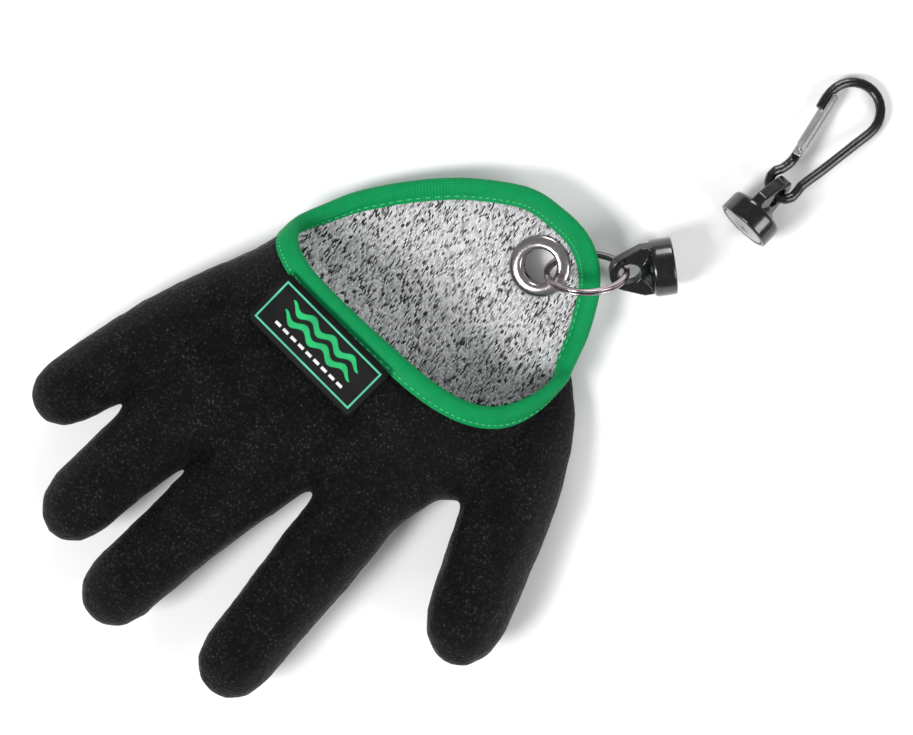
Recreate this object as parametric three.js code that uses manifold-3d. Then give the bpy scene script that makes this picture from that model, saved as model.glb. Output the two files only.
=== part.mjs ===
// Fishing glove for the left hand, lying on its back with the palm up. The mouth is a slanted scoop
// whose back wall runs on as a flap with an eyelet. A split ring joins the eyelet to one half of a
// magnetic coupling, and the other half, with its carabiner, lies in front of it.
// Millimetres. +Y runs to the fingertips, +X to the little finger, +Z up from the floor.
import * as THREE from 'three';
import { ParametricGeometry } from 'three/addons/geometries/ParametricGeometry.js';
import { mergeVertices } from 'three/addons/utils/BufferGeometryUtils.js';
import Module from 'manifold-3d';

const wasm = await Module();
wasm.setup();

// Clearances
const gap = 0.35;
const floorClearance = 0.1;
const throughCut = 6;

// The hand of the glove
const handWidth = 121;
const palmLength = 45.5;
const flapLength = 94.5;
const palmDepth = 34;
const coatWall = 1.15;
const linerWall = 1.05;
const linerReach = 21;
const palmPower = { top: 2.3, back: 2.6 };
const fingerPower = 2.2;
const palmSides = 32;
const fingerSides = 12;

// Sections of the palm, from the flap's end (at -1) past the thumb's crotch (at 0) to the finger
// roots (at 1). left and right are shares of handWidth; floor, waist and crown of palmDepth.
const palmRows = [
  { at: -1.111, left: -0.066, right: 0.388, floor: 0.470, waist: 0.800, crown: 1.250 },
  { at: -1.026, left: -0.099, right: 0.426, floor: 0.418, waist: 0.736, crown: 1.210 },
  { at: -0.873, left: -0.174, right: 0.492, floor: 0.308, waist: 0.630, crown: 1.160 },
  { at: -0.714, left: -0.231, right: 0.550, floor: 0.196, waist: 0.556, crown: 1.120 },
  { at: -0.556, left: -0.269, right: 0.595, floor: 0.082, waist: 0.504, crown: 1.080 },
  { at: -0.397, left: -0.294, right: 0.621, floor: 0.003, waist: 0.471, crown: 1.053 },
  { at: -0.317, left: -0.304, right: 0.628, floor: -0.026, waist: 0.459, crown: 1.041 },
  { at: -0.159, left: -0.331, right: 0.636, floor: -0.035, waist: 0.438, crown: 1.018 },
  { at: 0.000, left: -0.355, right: 0.638, floor: -0.035, waist: 0.421, crown: 0.985 },
  { at: 0.132, left: -0.360, right: 0.646, floor: -0.035, waist: 0.412, crown: 0.962 },
  { at: 0.264, left: -0.317, right: 0.657, floor: -0.035, waist: 0.400, crown: 0.924 },
  { at: 0.593, left: -0.309, right: 0.683, floor: -0.015, waist: 0.379, crown: 0.782 },
  { at: 0.901, left: -0.314, right: 0.698, floor: 0.088, waist: 0.368, crown: 0.612 },
  { at: 0.974, left: -0.308, right: 0.699, floor: 0.162, waist: 0.368, crown: 0.547 },
  { at: 1.000, left: -0.300, right: 0.693, floor: 0.235, waist: 0.368, crown: 0.485 },
];

// The mouth's edge: turn in degrees round the section, from the little finger's side over the palm
// to the thumb's side and back under the flap, and its place as a share of flapLength.
const rimRows = [
  { turn: 0, at: -0.132 },
  { turn: 15, at: -0.090 },
  { turn: 30, at: -0.052 },
  { turn: 47, at: -0.034 },
  { turn: 60, at: -0.040 },
  { turn: 80, at: -0.069 },
  { turn: 95, at: -0.104 },
  { turn: 110, at: -0.142 },
  { turn: 128, at: -0.212 },
  { turn: 145, at: -0.317 },
  { turn: 160, at: -0.455 },
  { turn: 175, at: -0.556 },
  { turn: 190, at: -0.614 },
  { turn: 202, at: -0.735 },
  { turn: 212, at: -0.836 },
  { turn: 225, at: -0.921 },
  { turn: 240, at: -0.968 },
  { turn: 256, at: -0.984 },
  { turn: 270, at: -0.966 },
  { turn: 283, at: -0.926 },
  { turn: 296, at: -0.836 },
  { turn: 308, at: -0.730 },
  { turn: 320, at: -0.566 },
  { turn: 333, at: -0.402 },
  { turn: 346, at: -0.243 },
];

// The digits. across is a share of handWidth and along a share of palmLength (flapLength for the
// thumb's heel), lean is in degrees towards the thumb, and bow is a share of the digit's width.
// Rows run from the root to the tip: width, depth and lift are shares of the digit's own sizes.
const digits = [
  {
    name: 'index', length: 104.2, width: 31.5, depth: 21.5, across: -0.154, along: 0.48,
    height: 13.4, lean: 13.1, bow: 0,
    rows: [
      { at: 0, width: 0.86, depth: 0.92, lift: 0 },
      { at: 0.2, width: 1.04, depth: 1.0, lift: 0.01 },
      { at: 0.4, width: 1.03, depth: 1.0, lift: 0.04 },
      { at: 0.6, width: 0.97, depth: 0.97, lift: 0.1 },
      { at: 0.8, width: 0.93, depth: 0.93, lift: 0.18 },
      { at: 1, width: 0.9, depth: 0.86, lift: 0.26 },
    ],
  },
  {
    name: 'middle', length: 119.7, width: 31.5, depth: 22, across: 0.104, along: 0.48,
    height: 13.6, lean: 2.2, bow: 0.06,
    rows: [
      { at: 0, width: 1.0, depth: 0.92, lift: 0 },
      { at: 0.19, width: 1.2, depth: 1.0, lift: 0.01 },
      { at: 0.32, width: 1.13, depth: 1.0, lift: 0.03 },
      { at: 0.45, width: 1.05, depth: 0.98, lift: 0.06 },
      { at: 0.6, width: 0.975, depth: 0.96, lift: 0.12 },
      { at: 0.8, width: 0.92, depth: 0.92, lift: 0.2 },
      { at: 1, width: 0.88, depth: 0.85, lift: 0.28 },
    ],
  },
  {
    name: 'ring', length: 112.1, width: 31.5, depth: 21.5, across: 0.369, along: 0.48,
    height: 13.4, lean: 1.2, bow: 0.08,
    rows: [
      { at: 0, width: 0.94, depth: 0.92, lift: 0 },
      { at: 0.2, width: 1.13, depth: 1.0, lift: 0.01 },
      { at: 0.35, width: 1.09, depth: 1.0, lift: 0.03 },
      { at: 0.48, width: 1.045, depth: 0.98, lift: 0.06 },
      { at: 0.62, width: 0.97, depth: 0.96, lift: 0.12 },
      { at: 0.8, width: 0.92, depth: 0.92, lift: 0.19 },
      { at: 1, width: 0.86, depth: 0.85, lift: 0.27 },
    ],
  },
  {
    name: 'little', length: 89.1, width: 29.5, depth: 20, across: 0.584, along: 0.48,
    height: 13, lean: -6.5, bow: 0,
    rows: [
      { at: 0, width: 0.78, depth: 0.9, lift: 0 },
      { at: 0.2, width: 0.93, depth: 1.0, lift: 0.01 },
      { at: 0.4, width: 1.0, depth: 1.0, lift: 0.04 },
      { at: 0.6, width: 0.99, depth: 0.97, lift: 0.1 },
      { at: 0.8, width: 0.91, depth: 0.93, lift: 0.17 },
      { at: 1, width: 0.88, depth: 0.86, lift: 0.25 },
    ],
  },
];
const thumb = {
  name: 'thumb', length: 120.4, width: 35.2, depth: 25, across: -0.224, along: -0.596,
  height: 6, lean: 31.2, bow: 0,
  rows: [
    { at: 0, width: 0.2, depth: 0.2, lift: 0 },
    { at: 0.05, width: 0.4, depth: 0.34, lift: 0.02 },
    { at: 0.133, width: 0.68, depth: 0.5, lift: 0.08 },
    { at: 0.241, width: 0.86, depth: 0.68, lift: 0.17 },
    { at: 0.357, width: 0.96, depth: 0.86, lift: 0.26 },
    { at: 0.482, width: 1.0, depth: 0.98, lift: 0.34 },
    { at: 0.615, width: 0.96, depth: 1.0, lift: 0.39 },
    { at: 0.748, width: 0.92, depth: 0.96, lift: 0.44 },
    { at: 0.87, width: 0.88, depth: 0.9, lift: 0.49 },
    { at: 1, width: 0.82, depth: 0.84, lift: 0.53 },
  ],
};
const tipTurns = [32, 62];
const tipRound = 0.5;

// The tape round the mouth
const tapeWidth = 8.2;
const tapeWall = 1.0;
const tapeSides = 48;

// The moulded label on the palm
const labelLength = 54;
const labelHeight = 23;
const labelThick = 1.7;
const labelCorner = 2.6;
const labelBevel = 0.9;
const labelFrameInset = 2.6;
const labelFrameWidth = 0.7;
const labelFrameRise = 0.45;
const labelOverlap = 2.8;
const labelTurn = 75;
const labelLean = 7;
const labelEase = 0.55;

// Eyelet, washer and split ring
const eyeletPlace = { across: 0.05, fromEnd: 22.1 };
const eyeletHole = 6.6;
const eyeletBarrel = 7.3;
const eyeletFlange = 11.7;
const eyeletRise = 1.5;
const eyeletCurl = 9.1;
const washerOuter = 11.1;
const washerThick = 0.8;
const roundSides = 16;
const ringRadius = 15;
const ringWireWidth = 2.3;
const ringWireThick = 1.1;
const ringCoilGap = 0.15;
const ringTurns = 1.94;
const ringSteps = 38;
const ringTilt = 58.8;
const ringHeading = 233.8;
const ringEntry = 2.4;
const ringAside = 3.2;
const ringSeat = 1.1;

// The magnetic coupling's halves
const capRadius = 11;
const capHeight = 8.5;
const capEdge = 0.6;
const shoulderHeight = 3.3;
const shoulderRadius = 3.6;
const tabThick = 4.6;
const tabEdge = 0.6;
const tabRootWidth = 21.6;
const tabRootHeight = 12;
const tabTopWidth = 15.4;
const tabHole = 4.4;
const tabHolePlace = 17;
const capSides = 20;
const magnetRadius = 9;
const magnetThick = 2.6;
const gloveHalf = { heading: 60, dip: 0, roll: -36 };
const clipHalf = { heading: 277.7, dip: 5, roll: 74 };

// Carabiner. across and along place its small eye against the palm's frame.
const wireRadius = 1.95;
const wireSides = 7;
const eyeRadius = 5.9;
const eyeStart = 215;
const eyeEnd = -35;
const eyeGrip = 97.7;
const carabinerLength = 55.5;
const carabinerWidth = 21.5;
const carabinerPlace = { across: -24.9, along: -164 };
const gateRadius = 2.1;
const gatePinPlace = { across: 6.3, along: -12 };
const gateHeading = -70.7;
const gateLength = 25.8;
const gateHeel = 1.9;
const gateTip = 8;
const tongueThick = 1.5;
const tongueWidth = 3.4;
const pinRadius = 0.7;

const wallTotal = coatWall + gap + linerWall;
const up = new THREE.Vector3(0, 0, 1);
const radians = THREE.MathUtils.degToRad;

// Tables: linear between the rows
function readTable(rows, key, columns) {
  const places = rows.map((row) => row[key]);
  const values = rows.flatMap((row) => columns.map((column) => row[column]));
  const reader = new THREE.LinearInterpolant(places, values, columns.length);
  return (place) => {
    const found = reader.evaluate(THREE.MathUtils.clamp(place, places[0], places.at(-1)));
    return Object.fromEntries(columns.map((column, i) => [column, found[i]]));
  };
}

// Solids: a closed mesh in, a closed mesh out
function solidOf(geometry) {
  const bare = geometry.index ? geometry.toNonIndexed() : geometry.clone();
  bare.deleteAttribute('normal');
  bare.deleteAttribute('uv');
  const merged = mergeVertices(bare, 1e-4);
  const found = merged.index.array;
  const kept = [];
  for (let i = 0; i < found.length; i += 3) {
    const [a, b, c] = [found[i], found[i + 1], found[i + 2]];
    if (a !== b && b !== c && c !== a) kept.push(a, b, c);
  }
  const vertProperties = new Float32Array(merged.attributes.position.array);
  const solid = new wasm.Manifold(
    new wasm.Mesh({ numProp: 3, vertProperties, triVerts: new Uint32Array(kept) }));
  if (solid.volume() > 0) return solid;
  for (let i = 0; i < kept.length; i += 3) [kept[i], kept[i + 1]] = [kept[i + 1], kept[i]];
  return new wasm.Manifold(
    new wasm.Mesh({ numProp: 3, vertProperties, triVerts: new Uint32Array(kept) }));
}

function geometryOf(solid) {
  const mesh = solid.getMesh();
  const geometry = new THREE.BufferGeometry();
  geometry.setAttribute('position', new THREE.BufferAttribute(mesh.vertProperties, 3));
  geometry.setIndex(new THREE.BufferAttribute(mesh.triVerts, 1));
  geometry.computeVertexNormals();
  return geometry;
}

function movedSolid(geometry, matrix) {
  return solidOf(geometry.clone().applyMatrix4(matrix));
}

// A closed skin through rings of points, each a function of its turn. The first and the last ring
// have shrunk to a point or a line.
function skin(rings, sides) {
  const last = rings.length - 1;
  const shape = (u, v, target) => {
    const turn = ((Math.round(u * sides) % sides) / sides) * 2 * Math.PI;
    target.copy(rings[Math.round(v * last)](turn));
  };
  return new ParametricGeometry(shape, sides, last);
}

function powered(value, power) {
  return Math.sign(value) * Math.abs(value) ** power;
}

// The palm's surface
const palmAt = readTable(palmRows, 'at', ['left', 'right', 'floor', 'waist', 'crown']);

function palmSection(y) {
  const row = palmAt(y < 0 ? y / flapLength : y / palmLength);
  return {
    centre: ((row.left + row.right) / 2) * handWidth,
    reach: ((row.right - row.left) / 2) * handWidth,
    waist: row.waist * palmDepth,
    above: (row.crown - row.waist) * palmDepth,
    below: (row.waist - row.floor) * palmDepth,
  };
}

function sectionPoint(turn, y, depth) {
  const section = palmSection(y);
  const top = Math.sin(turn) >= 0;
  const power = 2 / (top ? palmPower.top : palmPower.back);
  const rise = (top ? section.above : section.below) - depth;
  const x = section.centre + (section.reach - depth) * powered(Math.cos(turn), power);
  const z = section.waist + rise * powered(Math.sin(turn), power);
  return new THREE.Vector3(x, y, Math.max(z, depth));
}

// The same on the flat facets between the palm's sides, so that what lies on the cloth follows them
function palmPoint(turn, y, depth) {
  const step = (2 * Math.PI) / palmSides;
  const side = Math.floor(turn / step + 1e-6);
  return sectionPoint(side * step, y, depth)
    .lerp(sectionPoint((side + 1) * step, y, depth), turn / step - side);
}

// The turn at which a ray from the section's middle through the point meets the surface
function turnOf(point) {
  const section = palmSection(point.y);
  const top = point.z >= section.waist;
  const power = top ? palmPower.top : palmPower.back;
  const across = (point.x - section.centre) / section.reach;
  const rise = (point.z - section.waist) / (top ? section.above : section.below);
  const size = (Math.abs(across) ** power + Math.abs(rise) ** power) ** (1 / power);
  return Math.atan2(powered(rise / size, power / 2), powered(across / size, power / 2));
}

function seatOn(point, depth) {
  return palmPoint(turnOf(point), point.y, depth);
}

// The turn of the palm's top or back at a place seen from above
function turnAbove(x, y, top) {
  const section = palmSection(y);
  const power = top ? palmPower.top : palmPower.back;
  const across = THREE.MathUtils.clamp((x - section.centre) / section.reach, -1, 1);
  const turn = Math.acos(powered(across, power / 2));
  return top ? turn : -turn;
}

function palmBody(depth, from, to) {
  const span = (at) => at * (at < 0 ? flapLength : palmLength);
  const places = palmRows.map((row) => span(row.at)).filter((y) => y > from && y < to);
  const stations = [from, ...places, to];
  const rings = stations.map((y) => (turn) => palmPoint(turn, y, depth));
  const middle = (y) => () => new THREE.Vector3(palmSection(y).centre, y, palmSection(y).waist);
  return solidOf(skin([middle(from), ...rings, middle(to)], palmSides));
}

// A digit: sections along its bowed middle line, its tip rounded over half its width
function digitBody(digit, depth) {
  const read = readTable(digit.rows, 'at', ['width', 'depth', 'lift']);
  const lean = radians(digit.lean);
  const ahead = new THREE.Vector3(-Math.sin(lean), Math.cos(lean), 0);
  const aside = new THREE.Vector3(Math.cos(lean), Math.sin(lean), 0);
  const base = new THREE.Vector3(
    digit.across * handWidth,
    digit.along * (digit.along < 0 ? flapLength : palmLength),
    digit.height);
  const roundLength = digit.width * tipRound;
  const straightEnd = 1 - roundLength / digit.length;
  const middleAt = (at) => base.clone()
    .addScaledVector(ahead, at * digit.length)
    .addScaledVector(aside, digit.bow * digit.width * Math.sin(Math.PI * at))
    .addScaledVector(up, read(at).lift * digit.depth);
  const ringAt = (at, shrink) => (turn) => {
    const row = read(at);
    const halfWidth = (row.width * digit.width) / 2 - depth;
    const halfDepth = (row.depth * digit.depth) / 2 - depth;
    return middleAt(at)
      .addScaledVector(aside, shrink * halfWidth * powered(Math.cos(turn), 2 / fingerPower))
      .addScaledVector(up, shrink * halfDepth * powered(Math.sin(turn), 2 / fingerPower));
  };
  const rings = [() => middleAt(0)];
  for (const row of digit.rows) if (row.at < straightEnd) rings.push(ringAt(row.at, 1));
  rings.push(ringAt(straightEnd, 1));
  const tipReach = (roundLength - depth) / digit.length;
  for (const turn of tipTurns) {
    rings.push(ringAt(straightEnd + tipReach * Math.sin(radians(turn)), Math.cos(radians(turn))));
  }
  rings.push(() => middleAt(straightEnd + tipReach));
  return solidOf(skin(rings, fingerSides));
}

// The mouth's edge
const rimLoop = [
  { ...rimRows.at(-1), turn: rimRows.at(-1).turn - 360 },
  ...rimRows,
  { ...rimRows[0], turn: 360 },
];
const rimPlaces = rimLoop.map((row) => row.turn);
const rimReader = new THREE.CubicInterpolant(rimPlaces, rimLoop.map((row) => row.at), 1);

function rimY(turn) {
  const degrees = THREE.MathUtils.euclideanModulo(THREE.MathUtils.radToDeg(turn), 360);
  return rimReader.evaluate(degrees)[0] * flapLength;
}

function rimFrame(turn) {
  const step = 0.02;
  const point = palmPoint(turn, rimY(turn), 0);
  const along = palmPoint(turn + step, rimY(turn + step), 0)
    .sub(palmPoint(turn - step, rimY(turn - step), 0)).normalize();
  const round = palmPoint(turn + step, point.y, 0).sub(palmPoint(turn - step, point.y, 0));
  const ahead = palmPoint(turn, point.y + 1, 0).sub(palmPoint(turn, point.y - 1, 0));
  const normal = ahead.cross(round).normalize();
  return { point, inward: along.cross(normal).normalize() };
}

// Everything on the wrist's side of the mouth's edge, or of a line a set way in from that edge
function mouthCutter(inset) {
  const inner = wallTotal + gap + 3 * tapeWall;
  const outer = 14;
  const away = -flapLength * 1.5;
  const apex = new THREE.Vector3(0.12 * handWidth, -0.4 * flapLength, 0.6 * palmDepth);
  const places = Array.from({ length: tapeSides }, (_, i) => {
    const { point, inward } = rimFrame((i / tapeSides) * 2 * Math.PI);
    return point.addScaledVector(inward, inset);
  });
  const placeAt = (turn) => places[Math.round((turn / (2 * Math.PI)) * tapeSides)];
  const ring = (depth) => (turn) => seatOn(placeAt(turn), depth);
  const far = (turn) => ring(-outer)(turn).setY(away);
  const end = new THREE.Vector3(apex.x, away, apex.z);
  return solidOf(skin([() => apex, ring(inner), ring(-outer), far, () => end], tapeSides));
}

// Where the cloth lies: seat plane of a disc on the flap, from eight points round it
function discSeat(x, y, radius, depth) {
  const at = (dx, dy) => palmPoint(turnAbove(x + dx, y + dy, false), y + dy, depth);
  const points = [];
  for (let i = 0; i < 8; i += 1) {
    points.push(at(radius * Math.cos(i * Math.PI / 4), radius * Math.sin(i * Math.PI / 4)));
  }
  const normal = new THREE.Vector3();
  const centre = new THREE.Vector3();
  points.forEach((point, i) => {
    normal.add(point.clone().cross(points[(i + 1) % points.length]));
    centre.addScaledVector(point, 1 / points.length);
  });
  normal.normalize();
  const heights = [...points, at(0, 0)].map((point) => point.clone().sub(centre).dot(normal));
  return { centre, normal, high: Math.max(...heights), low: Math.min(...heights) };
}

// Coat
const flapEnd = palmRows[0].at * flapLength;
const rootEnd = palmLength;
const palmOuter = palmBody(0, flapEnd, rootEnd);
const palmInner = palmBody(coatWall, flapEnd, rootEnd - coatWall);
const mouth = mouthCutter(0);

const eyeletX = eyeletPlace.across * handWidth;
const eyeletY = eyeletPlace.fromEnd - flapLength;
const innerSeat = discSeat(eyeletX, eyeletY, eyeletFlange, wallTotal);
const outerSeat = discSeat(eyeletX, eyeletY, washerOuter, 0);
const eyeletTurn = new THREE.Quaternion().setFromUnitVectors(up, innerSeat.normal);
const eyeletMatrix = new THREE.Matrix4().compose(
  innerSeat.centre, eyeletTurn, new THREE.Vector3(1, 1, 1));
const clothDepth = innerSeat.centre.clone().sub(outerSeat.centre).dot(innerSeat.normal);

function clothHole() {
  const radius = (eyeletBarrel + gap) / Math.cos(Math.PI / roundSides);
  const hole = new THREE.CylinderGeometry(radius, radius, 4 * throughCut, roundSides);
  return movedSolid(hole.rotateX(Math.PI / 2), eyeletMatrix);
}

function blockSolid(low, high) {
  const size = high.clone().sub(low);
  const middle = low.clone().add(high).multiplyScalar(0.5);
  return solidOf(new THREE.BoxGeometry(size.x, size.y, size.z).translate(...middle));
}

// Room for the tape's outer leg beside the thumb's heel
function tapeRoom(extra) {
  const ahead = tapeWidth + 3 * gap;
  const layer = palmBody(-2 * gap - tapeWall - extra, flapEnd, ahead)
    .subtract(palmBody(0, flapEnd - 1, ahead + 1));
  return layer.intersect(mouthCutter(tapeWidth + gap + extra));
}

function latexCoat() {
  const fingersTo = (depth, start) => (
    digits.reduce((sum, digit) => sum.add(digitBody(digit, depth)), start));
  const outer = fingersTo(0, palmOuter).add(digitBody(thumb, 0).subtract(tapeRoom(0)));
  const inner = fingersTo(coatWall, palmInner)
    .add(digitBody(thumb, coatWall).subtract(tapeRoom(coatWall)));
  // The wall that carries the tape stays whole beside the thumb's heel
  const heel = blockSolid(
    new THREE.Vector3(-handWidth, flapEnd, -palmDepth),
    new THREE.Vector3(0, -0.33 * flapLength, 2 * palmDepth));
  const kept = palmOuter.subtract(palmInner).intersect(heel);
  return outer.subtract(inner).add(kept).subtract(mouth).subtract(clothHole());
}

function knitLiner() {
  const outer = palmBody(coatWall + gap, flapEnd, linerReach);
  const inner = palmBody(wallTotal, flapEnd, linerReach - linerWall);
  const end = blockSolid(
    new THREE.Vector3(-handWidth, linerReach - 2 * linerWall, -palmDepth),
    new THREE.Vector3(handWidth, handWidth, 2 * palmDepth));
  const sleeve = outer.subtract(inner).subtract(end);
  const beyondHeel = blockSolid(
    new THREE.Vector3(-2 * handWidth, -0.33 * flapLength, -palmDepth),
    new THREE.Vector3(handWidth, handWidth, 2 * palmDepth));
  const thumbWay = digitBody(thumb, coatWall).intersect(beyondHeel);
  return sleeve.subtract(thumbWay).subtract(mouth).subtract(clothHole());
}

// Tape: folded over the edge, one leg outside and one inside
function mouthTape() {
  const ahead = tapeWidth + gap;
  const layer = (outside, inside) => (
    palmBody(outside, flapEnd, ahead).subtract(palmBody(inside, flapEnd - 1, ahead + 1)));
  const whole = layer(-gap - tapeWall, wallTotal + gap + tapeWall);
  const slot = layer(-gap, wallTotal + gap).subtract(mouthCutter(-gap));
  return whole.intersect(mouthCutter(tapeWidth)).subtract(mouthCutter(-gap - tapeWall)).subtract(slot);
}

// Label: a moulded plate with a raised frame line, draped on the palm and over the tape's edge
function labelPatch() {
  const anchorTurn = radians(labelTurn);
  const anchor = rimFrame(anchorTurn);
  const lean = radians(labelLean);
  const rightward = new THREE.Vector2(Math.cos(lean), Math.sin(lean));
  const outward = new THREE.Vector2(-Math.sin(lean), Math.cos(lean));
  const start = new THREE.Vector2(anchor.point.x, anchor.point.y)
    .addScaledVector(outward, tapeWidth - labelOverlap + labelHeight / 2);
  const overTape = tapeWall + 2 * gap;
  const drape = (px, py, height) => {
    const place = start.clone().addScaledVector(rightward, px).addScaledVector(outward, py);
    const turn = turnAbove(place.x, place.y, true);
    const fromEdge = place.y - rimY(turn);
    const lift = overTape * (1 - THREE.MathUtils.smoothstep(fromEdge, tapeWidth + 1.5, tapeWidth + 7));
    return palmPoint(turn, place.y, -(labelEase + lift + height));
  };
  const outline = roundedOutline(labelLength, labelHeight, labelCorner);
  const frameTop = labelThick + labelFrameRise;
  const rows = [
    { inset: labelBevel * 0.5, height: 0 },
    { inset: 0, height: labelThick - labelBevel },
    { inset: labelBevel, height: labelThick },
    { inset: labelFrameInset, height: labelThick },
    { inset: labelFrameInset, height: frameTop },
    { inset: labelFrameInset + labelFrameWidth, height: frameTop },
    { inset: labelFrameInset + labelFrameWidth, height: labelThick },
  ];
  const cornerAt = (turn) => outline[Math.round((turn / (2 * Math.PI)) * outline.length)];
  const rings = rows.map((row) => (turn) => {
    const corner = cornerAt(turn);
    const px = corner.x * (1 - (2 * row.inset) / labelLength);
    const py = corner.y * (1 - (2 * row.inset) / labelHeight);
    return drape(px, py, row.height);
  });
  const reach = (labelLength - labelHeight) / 2;
  const spine = (height) => (turn) => (
    drape(THREE.MathUtils.clamp(cornerAt(turn).x, -reach, reach), 0, height));
  return solidOf(skin([spine(0), ...rings, spine(labelThick)], outline.length));
}

// A rectangle with round corners as equally numbered points: sides split so that they can bend
function roundedOutline(length, height, corner) {
  const halfLength = length / 2 - corner;
  const halfHeight = height / 2 - corner;
  const sides = [
    { x: halfLength, y: -halfHeight, turn: -90, count: 2, dx: 0, dy: 2 * halfHeight },
    { x: halfLength, y: halfHeight, turn: 0, count: 7, dx: -2 * halfLength, dy: 0 },
    { x: -halfLength, y: halfHeight, turn: 90, count: 2, dx: 0, dy: -2 * halfHeight },
    { x: -halfLength, y: -halfHeight, turn: 180, count: 7, dx: 2 * halfLength, dy: 0 },
  ];
  const points = [];
  for (const side of sides) {
    for (const part of [0, 45, 90]) {
      const turn = radians(side.turn + part);
      points.push(new THREE.Vector2(
        side.x + corner * Math.cos(turn), side.y + corner * Math.sin(turn)));
    }
    for (let i = 1; i < side.count; i += 1) {
      const share = i / side.count;
      const turn = radians(side.turn + 90);
      points.push(new THREE.Vector2(
        side.x + side.dx * share + corner * Math.cos(turn),
        side.y + side.dy * share + corner * Math.sin(turn)));
    }
  }
  return points;
}

// Eyelet and washer, in a frame with the flap's inner face at z = 0
const clothTop = innerSeat.high + gap;
const clothBottom = -clothDepth + outerSeat.low - gap;
const washerBottom = clothBottom - washerThick;

function lathe(points, sides) {
  const outline = points.map(([radius, height]) => new THREE.Vector2(radius, height));
  outline.push(outline[0].clone());
  return new THREE.LatheGeometry(outline, sides).rotateX(Math.PI / 2);
}

function eyelet() {
  const curlTop = washerBottom - gap;
  const curlBottom = curlTop - 0.9;
  return lathe([
    [eyeletHole + 0.7, curlBottom],
    [eyeletCurl - 0.2, curlBottom + 0.2],
    [eyeletCurl, curlTop],
    [eyeletBarrel, curlTop],
    [eyeletBarrel, clothTop],
    [eyeletFlange - 0.2, clothTop],
    [eyeletFlange, clothTop + 0.2 * eyeletRise],
    [eyeletFlange - 1.6, clothTop + 0.75 * eyeletRise],
    [eyeletHole + 1.9, clothTop + 0.85 * eyeletRise],
    [eyeletHole + 0.8, clothTop + eyeletRise],
    [eyeletHole, clothTop + 0.6 * eyeletRise],
    [eyeletHole, curlBottom + 0.5],
  ], roundSides);
}

function eyeletWasher() {
  return lathe([
    [eyeletBarrel + gap, washerBottom],
    [washerOuter, washerBottom + 0.15],
    [washerOuter, clothBottom],
    [eyeletBarrel + gap, clothBottom],
  ], roundSides);
}

// Split ring: two flat coils side by side
class Coil extends THREE.Curve {
  getPoint(t, target = new THREE.Vector3()) {
    const turn = t * ringTurns * 2 * Math.PI;
    const pitch = ringWireThick + ringCoilGap;
    return target.set(
      ringRadius * Math.cos(turn), ringRadius * Math.sin(turn), pitch * ringTurns * (t - 0.5));
  }
}

function splitRing() {
  const wide = ringWireWidth / 2;
  const thick = ringWireThick / 2;
  const section = new THREE.Shape([
    new THREE.Vector2(wide, 0),
    new THREE.Vector2(wide * 0.6, thick),
    new THREE.Vector2(-wide * 0.6, thick),
    new THREE.Vector2(-wide, 0),
    new THREE.Vector2(-wide * 0.6, -thick),
    new THREE.Vector2(wide * 0.6, -thick),
  ]);
  return new THREE.ExtrudeGeometry(
    section, { steps: ringSteps, extrudePath: new Coil(), bevelEnabled: false });
}

// The ring's plane: its level axis runs from the eyelet to the coupling, its other axis climbs
const ringAhead = new THREE.Vector3(
  Math.cos(radians(ringHeading)), Math.sin(radians(ringHeading)), 0);
const ringLean = new THREE.Vector3(ringAhead.y, -ringAhead.x, 0);
const ringUp = ringLean.clone().multiplyScalar(Math.cos(radians(ringTilt)))
  .addScaledVector(up, Math.sin(radians(ringTilt)));
const coilHalf = ringWireThick + ringCoilGap;
const ringCentre = new THREE.Vector3(innerSeat.centre.x, innerSeat.centre.y, 0)
  .addScaledVector(ringAhead, ringRadius + ringEntry)
  .addScaledVector(ringLean, ringAside)
  .setZ(ringRadius * Math.sin(radians(ringTilt)) + coilHalf + ringWireWidth / 2);
const ringMatrix = new THREE.Matrix4()
  .makeBasis(ringAhead, ringUp, ringAhead.clone().cross(ringUp))
  .setPosition(ringCentre);

// The frame of a coupling half: x across its tab, y from its face to its tab, z through its tab
function halfFrame(half) {
  const heading = radians(half.heading);
  const dip = radians(half.dip);
  const roll = radians(half.roll);
  const axis = new THREE.Vector3(
    Math.cos(heading) * Math.cos(dip), Math.sin(heading) * Math.cos(dip), -Math.sin(dip));
  const level = new THREE.Vector3().crossVectors(axis, up).normalize();
  const raised = new THREE.Vector3().crossVectors(level, axis);
  const through = raised.multiplyScalar(Math.cos(roll)).addScaledVector(level, Math.sin(roll));
  const across = new THREE.Vector3().crossVectors(axis, through);
  return { axis, across, through };
}

function placeHalf(frame, holeCentre) {
  const origin = holeCentre.clone().addScaledVector(frame.axis, -tabHolePlace);
  return new THREE.Matrix4().makeBasis(frame.across, frame.axis, frame.through).setPosition(origin);
}

const gloveFrame = halfFrame(gloveHalf);
const gloveHole = ringCentre.clone()
  .addScaledVector(ringAhead, ringRadius)
  .addScaledVector(gloveFrame.axis, -ringSeat)
  .setZ(capRadius + floorClearance);
const gloveHalfMatrix = placeHalf(gloveFrame, gloveHole);

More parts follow.
